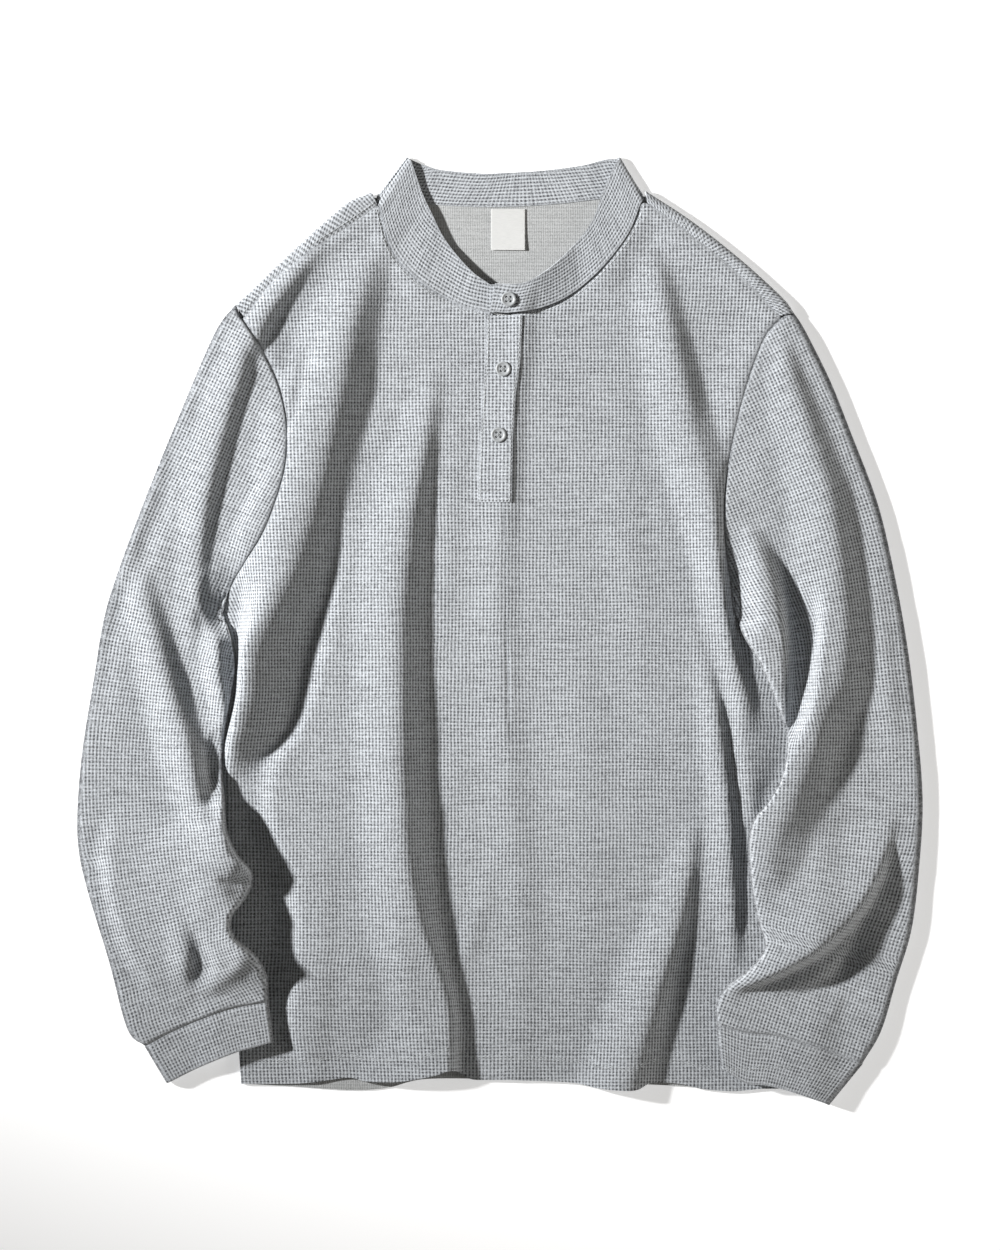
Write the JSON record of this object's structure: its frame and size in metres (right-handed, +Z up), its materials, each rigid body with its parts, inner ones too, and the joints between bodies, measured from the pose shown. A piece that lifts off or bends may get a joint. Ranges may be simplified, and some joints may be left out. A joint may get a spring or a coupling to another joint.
{
  "type": "long-sleeved henley thermal top, laid flat",
  "caption": "Long-sleeved waffle-knit henley thermal top with band collar, short buttoned placket and doubled cuffs, laid flat on its back with soft folds, to dress a bed, shop or laundry.",
  "frame": {"origin": "on the surface the top lies on, under the middle of its box", "axes": "+Z up off the surface, +Y from the hem to the collar, +X to the viewer's right as the front is looked at"},
  "size_m": [0.676, 0.7582, 0.037],
  "materials": {
    "knit": "heather grey waffle knit, matt, with a soft fuzz",
    "button": "grey moulded four-hole button, satin",
    "label": "white woven satin tape, left bare"
  },
  "bodies": {
    "root": {"back_panel": "knit", "front_panel": "knit", "sleeve_left": "knit", "sleeve_right": "knit", "cuff_left": "knit", "cuff_right": "knit", "collar": "knit", "placket_under": "knit", "placket_upper": "knit", "button_collar": "button", "button_upper": "button", "button_lower": "button", "neck_label": "label"}
  },
  "joints": []
}
